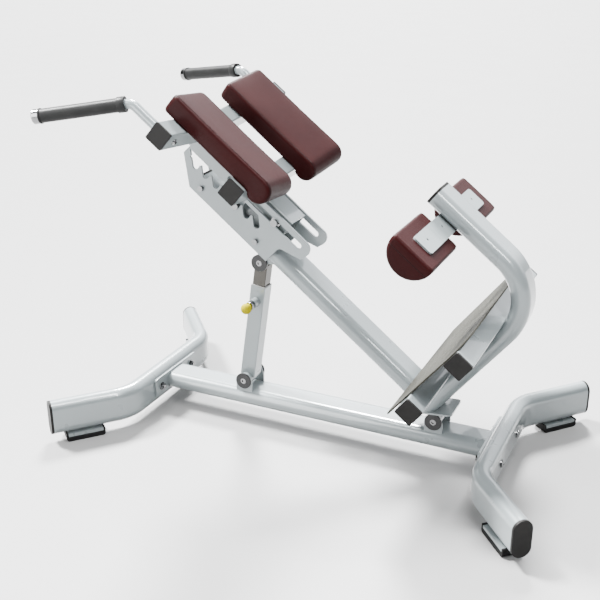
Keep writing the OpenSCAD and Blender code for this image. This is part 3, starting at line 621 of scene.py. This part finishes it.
def hip_pads():
    e0, e1 = HIP_IN, HIP_OUT
    bm = loft(hip_sections(e0 - REMESH_LOSS, e1 + REMESH_LOSS, REMESH_LOSS,
                           HIP_EDGE, HIP_CORNER))
    pad = new_object("hip_pad_cushion_left", bm, LEATHER)
    inflate(pad, VOXEL, PRESSURE, SWELL_CAP)
    for v in pad.data.vertices:
        if v.co.x > OFF_BARS_FROM:
            v.co.z = max(v.co.z, OFF_BARS)
        along = RECESS_FROM < v.co.x < RECESS_TO
        if along and e0 + RECESS_RIM < v.co.y < e1 - RECESS_RIM:
            v.co.z = max(v.co.z, OFF_BACK)
    ring = resample([Vector(p) for p in hip_outline(0.0)], SEAM_STEP)
    lines = [[Vector((p.x, e, p.y)) for p in ring]
             for e in (e0 + HIP_SEAM_IN, e1 - HIP_SEAM_IN)]
    cut_groove(pad, lines, GROOVE_WIDE, HIP_GROOVE)
    thread = piping("hip_pad_seams_left", pad, [line[::3] for line in lines], HIP_PIPING)
    right = copy_of(pad, "hip_pad_cushion_right")
    thread_r = copy_of(thread, "hip_pad_seams_right")
    for o, m, node in ((pad, False, "hip_pad_left"), (right, True, "hip_pad_right")):
        place(o, M_BAR, "carriage", m)
        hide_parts(node)
    for o, m in ((thread, False), (thread_r, True)):
        place(o, M_BAR, "carriage", m)


# ---------------------------------------------------------------- ankle pads


def ankle_outline(grow):
    """End view of an ankle pad in the boom frame: flat above, a deep round below."""
    s, h, r = ANKLE_S, ANKLE_H, ANKLE_R + grow
    top = h + grow
    pts = arc(s + r - ANKLE_ROUND, top - ANKLE_ROUND, ANKLE_ROUND, 0, 90, 4)
    pts += arc(s - r + ANKLE_ROUND, top - ANKLE_ROUND, ANKLE_ROUND, 90, 180, 4)
    pts += arc(s, h - ANKLE_DEEP, r, 180, 360, 26)
    return pts


def ankle_pads():
    y0, y1 = ANKLE_IN, ANKLE_OUT
    bm = prism(ankle_outline(REMESH_LOSS), y0 - REMESH_LOSS, y1 + REMESH_LOSS, ANKLE_EDGE)
    pad = new_object("ankle_pad_cushion_left", bm, LEATHER)
    inflate(pad, VOXEL, PRESSURE, SWELL_CAP)
    for v in pad.data.vertices:
        v.co.z = min(v.co.z, ANKLE_H)
    ring = resample(seam_points(ankle_outline(0.0), ANKLE_SEAM_IN), SEAM_STEP)
    lines = [[Vector((p.x, y, p.y)) for p in ring] for y in (y0, y1)]
    half = CHORD_HALF
    chord = [Vector((ANKLE_S - half + 2 * half * i / 100, y1, CHORD_H)) for i in range(101)]
    cut_groove(pad, lines + [chord], GROOVE_WIDE, ANKLE_GROOVE)
    thread = piping("ankle_pad_seams_left", pad, [chord[::3]], ANKLE_PIPING, closed=False)
    right = copy_of(pad, "ankle_pad_cushion_right")
    thread_r = copy_of(thread, "ankle_pad_seams_right")
    for o, m, node in ((pad, False, "ankle_pad_left"), (right, True, "ankle_pad_right")):
        place(o, M_BOOM, "boom", m)
        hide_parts(node)
    for o, m in ((thread, False), (thread_r, True)):
        place(o, M_BOOM, "boom", m)


hip_pads()
ankle_pads()
soft_edges(["side_plate_left", "side_plate_right", "stop_plate", "foot_plate",
            "ankle_plate", "bolt_plates", "strut_bracket", "tilt_bracket",
            "strut_top_bracket", "foot_pad_plates"], 0.0008)
soft_edges(["foot_tube_caps", "boom_end_cap", "gooseneck_end_cap", "foot_bar_caps",
            "carriage_caps"], 0.0022, 3)
soft_edges(["base_pivot_discs", "strut_top_discs", "plate_rods", "lock_pin", "slot_bolt",
            "grip_collars", "pin_collar"], 0.0007)

# ---------------------------------------------------------------- floor, light, camera

BACKDROP = 2.6
SKY_BASE, SKY_GLOW = 0.16, 5.0
LENS, SENSOR = 58.64, 36
CAMERA_AZ, CAMERA_EL = 25.107, 22.183
CAMERA_AT = (0.9904, -2.2608, 1.4108)


def studio():
    bm = bmesh.new()
    bmesh.ops.create_grid(bm, x_segments=2, y_segments=2, size=60)
    m = Mat("pale_floor")
    drift = m.noise(0.6, 2, 0.5)
    m.to(m.mix(drift, (0.20, 0.20, 0.20), (0.208, 0.208, 0.208)), "Base Color")
    m.to(m.span(m.noise(3, 2, 0.5), 0.55, 0.65), "Roughness")
    m.set(Emission_Strength=0.05)
    m.bsdf.inputs["Emission Color"].default_value = (1, 1, 1, 1)
    floor = new_object("floor", bm, m.m, smooth=False)
    world = bpy.data.worlds.new("studio")
    world.use_nodes = True
    tree = world.node_tree
    bg = tree.nodes["Background"]
    where = tree.nodes.new("ShaderNodeTexCoord")
    split = tree.nodes.new("ShaderNodeSeparateXYZ")
    tree.links.new(where.outputs["Generated"], split.inputs[0])
    ramp = tree.nodes.new("ShaderNodeValToRGB")
    el = ramp.color_ramp.elements
    el[0].position, el[0].color = 0.0, (0.35, 0.36, 0.375, 1)
    el[1].position, el[1].color = 1.0, (2.2, 2.25, 2.3, 1)
    mid = el.new(0.45)
    mid.color = (0.7, 0.72, 0.75, 1)
    tree.links.new(split.outputs["Z"], ramp.inputs[0])
    tree.links.new(ramp.outputs["Color"], bg.inputs["Color"])

    def sky_range(socket, a, b, lo, hi):
        n = tree.nodes.new("ShaderNodeMapRange")
        n.interpolation_type = "SMOOTHSTEP"
        for key, v in (("From Min", a), ("From Max", b), ("To Min", lo), ("To Max", hi)):
            n.inputs[key].default_value = v
        tree.links.new(socket, n.inputs["Value"])
        return n.outputs["Result"]

    def sky_math(op, a, b):
        n = tree.nodes.new("ShaderNodeMath")
        n.operation = op
        for i, v in enumerate((a, b)):
            if isinstance(v, (int, float)):
                n.inputs[i].default_value = v
            else:
                tree.links.new(v, n.inputs[i])
        return n.outputs[0]

    # a bright band of low sky on the far side, for the gloss of the tubes
    low_sky = sky_math("MULTIPLY", sky_range(split.outputs["Z"], 0.02, 0.22, 0, 1),
                       sky_range(split.outputs["Z"], 0.48, 0.68, 1, 0.12))
    glow = sky_math("MULTIPLY", sky_range(split.outputs["Y"], 0.15, 0.85, 0, 1), low_sky)
    strength = sky_math("ADD", sky_math("MULTIPLY", glow, SKY_GLOW), SKY_BASE)
    tree.links.new(strength, bg.inputs["Strength"])

    # the backdrop seen past the floor's edge is as pale as the floor; it lights nothing
    pale = tree.nodes.new("ShaderNodeBackground")
    pale.inputs["Color"].default_value = (1, 1, 1, 1)
    pale.inputs["Strength"].default_value = BACKDROP
    seen = tree.nodes.new("ShaderNodeLightPath")
    either = tree.nodes.new("ShaderNodeMixShader")
    tree.links.new(seen.outputs["Is Camera Ray"], either.inputs[0])
    tree.links.new(bg.outputs[0], either.inputs[1])
    tree.links.new(pale.outputs[0], either.inputs[2])
    tree.links.new(either.outputs[0], tree.nodes["World Output"].inputs["Surface"])
    bpy.context.scene.world = world

    def area(name, loc, target, size, energy):
        d = bpy.data.lights.new(name, "AREA")
        d.shape = "RECTANGLE"
        d.size, d.size_y = size
        d.energy = energy
        o = bpy.data.objects.new(name, d)
        o.location = loc
        aim = Vector(target) - Vector(loc)
        o.rotation_euler = aim.to_track_quat("-Z", "Y").to_euler()
        o.visible_camera = False
        bpy.context.scene.collection.objects.link(o)

    def sun(name, back, spread, energy):
        d = bpy.data.lights.new(name, "SUN")
        d.energy = energy
        d.angle = math.radians(spread)
        o = bpy.data.objects.new(name, d)
        o.rotation_euler = Vector(back).to_track_quat("Z", "Y").to_euler()
        bpy.context.scene.collection.objects.link(o)

    sun("key", (-0.62, 0.08, 0.78), 12, 31.0)
    sun("back_key", (-0.25, 0.62, 0.74), 14, 19.0)
    area("strip", (-0.2, -0.6, 3.6), (0, 0, 0.3), (3.0, 0.25), 130)
    area("front_strip", (1.4, -0.9, 3.0), (0, 0, 0.3), (0.3, 2.8), 160)
    area("softbox", (-1.6, -3.2, 1.9), (0, 0, 0.3), (1.4, 3.8), 215)


studio()

cam = bpy.data.cameras.new("camera")
cam.sensor_width = SENSOR
cam.lens = LENS
co = bpy.data.objects.new("camera", cam)
bpy.context.scene.collection.objects.link(co)
az, el = math.radians(CAMERA_AZ), math.radians(CAMERA_EL)
back = Vector((math.sin(az) * math.cos(el), -math.cos(az) * math.cos(el), math.sin(el)))
co.location = CAMERA_AT
co.rotation_euler = (-back).to_track_quat("-Z", "Y").to_euler()
cam.clip_end = 200
bpy.context.scene.camera = co
